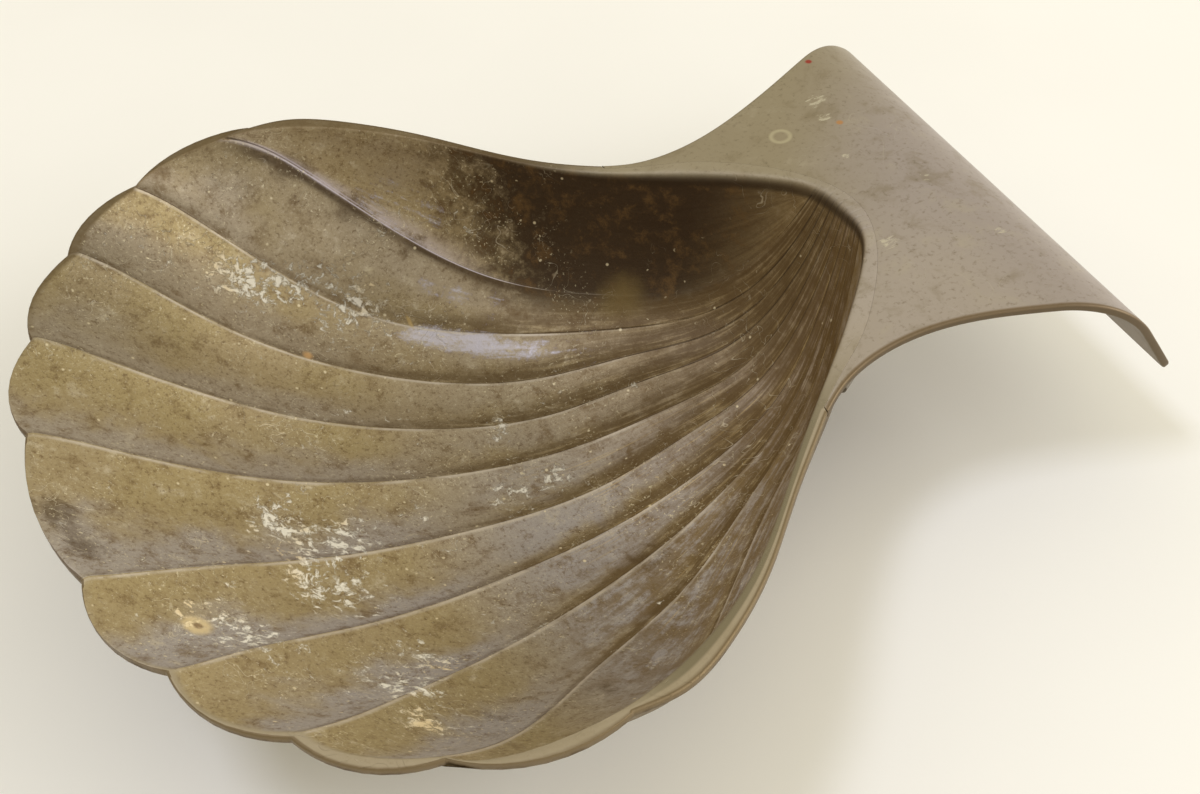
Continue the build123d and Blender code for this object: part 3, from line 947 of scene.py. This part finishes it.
def rubbed_brass():
    """The plate's patina, rubbed by the hand: browner along its edges and underneath, with painted shade
    along the near side's edge.
    """
    p = Paint("rubbed_brass")
    place = p.place()
    side, end, half = p.read("border")
    colour, rough, height = plate_look(p, place)
    near_side = p.band(half, 0.5, -0.5)
    below = p.band(p.split(p.node("NewGeometry", {}, out=1))[2], 0.0, -0.3)
    # The brown strip along the near side's edge is painted shade; the other edge browning and the underside
    # are the plate's patina
    colour = p.coats(
        colour,
        ((112, 88, 50), p.times(p.band(side, 0.9, 0.3), near_side, 0.8)),
        ((96, 80, 54), p.times(p.band(side, 0.5, 0.1), 0.5)),
        ((92, 78, 58), p.band(end, 1.4, 0.4, 0.7)),
        ((110, 94, 66), p.times(below, 0.6)))
    return p.finish(colour, rough, 0.5, height, 0.10)


handle_plate.data.materials.append(rubbed_brass())
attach(handle_plate, "root")
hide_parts("handle")

# The solder. A bead of grey tin solder run round the mouth under the joint,
# left as it set. It holds the plate's arms to the bowl's flange.
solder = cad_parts["solder_bead"]
solder.data.materials.clear()


def dull_solder():
    """Greyed solder with a lumpy skin and brown in its pits."""
    p = Paint("dull_solder")
    place = p.place()
    lumps = p.noise(place, 0.6, 5, 0.6, 0.5)
    grain = p.noise(place, 3.0, 4, 0.6)
    colour = p.blend(tone(142, 136, 126), tone(88, 72, 50), p.band(lumps, 0.45, 0.7))
    colour = p.coats(colour, ((176, 170, 158), p.band(grain, 0.55, 0.75, 0.5)))
    fine = p.times(grain, 0.2)
    return p.finish(colour, p.plus(0.42, fine), 0.8, p.plus(lumps, fine), 0.35)


solder.data.materials.append(dull_solder())

# The floor: a sheet of white paper, far wider than any view of the shell
FLOOR_SIZE = 6
bpy.ops.mesh.primitive_plane_add(size=FLOOR_SIZE, location=(0, 0, 0))
floor = bpy.context.object
floor.name = "floor"


def paper():
    """Cream white paper with a faint cloud of tone and a fine tooth."""
    p = Paint("paper")
    place = p.place()
    cloud = p.band(p.noise(place, 0.01, 3), 0.4, 0.6)
    colour = p.blend((0.92, 0.90, 0.86, 1), (0.905, 0.885, 0.845, 1), cloud)
    return p.finish(colour, 0.75, 0.0, p.noise(place, 2.0, 3), 0.01)


floor.data.materials.append(paper())

# The camera stands where the photograph was taken from, as worked out from the
# mirror symmetry of lip, ridges and neck
camera = bpy.data.objects.new("camera", bpy.data.cameras.new("camera"))
bpy.context.scene.collection.objects.link(camera)
camera.data.lens = 48
camera.data.sensor_width = 36
camera.data.sensor_fit = "HORIZONTAL"
camera.data.clip_start = 0.01
camera.matrix_world = Matrix((
    (0.88110143, 0.37559497, -0.28738249, -0.06835),
    (-0.46788616, 0.60381515, -0.64536022, -0.15818),
    (-0.06886815, 0.70309010, 0.70775808, 0.15123 + RIM * MM),
    (0, 0, 0, 1)))
bpy.context.scene.camera = camera


def soft_light(name, place, target, size, power, colour):
    """A softbox of size metres and power watts at place, turned to target."""
    lamp = bpy.data.lights.new(name, "AREA")
    lamp.shape = "RECTANGLE"
    lamp.size, lamp.size_y = size
    lamp.energy = power
    lamp.color = colour
    box = bpy.data.objects.new(name, lamp)
    bpy.context.scene.collection.objects.link(box)
    away = np.array(place) - np.array(target)
    away = away / np.linalg.norm(away)
    right = np.cross((0, 0, 1), away)
    right = right / np.linalg.norm(right)
    up = np.cross(away, right)
    rows = [[right[i], up[i], away[i], place[i]] for i in range(3)]
    box.matrix_world = Matrix(rows + [[0, 0, 0, 1]])


# One lamp overhead, windows behind and to the right, and a warm room
soft_light("key", (-0.40, 0.10, 1.12), (0, 0, 0), (0.26, 0.26), 2.85, (0.92, 0.99, 1.24))
soft_light("back", (-0.45, 1.1, 0.9), (0, 0, 0), (1.4, 0.9), 1.0, (1.0, 0.97, 0.94))
soft_light("side", (0.55, -1.00, 0.75), (0.04, 0, 0), (1.3, 0.9), 5.3, (0.95, 0.99, 1.14))
soft_light("low", (1.10, -0.45, 0.42), (0.05, 0, 0.01), (0.7, 0.5), 6.6, (1.0, 0.975, 0.92))
world = bpy.data.worlds.new("room")
bpy.context.scene.world = world
world.use_nodes = True
room = world.node_tree.nodes["Background"]
room.inputs["Color"].default_value = (1.0, 0.93, 0.69, 1)
room.inputs["Strength"].default_value = 0.65
bpy.context.scene.view_settings.view_transform = "Standard"     # keeps the paper near white
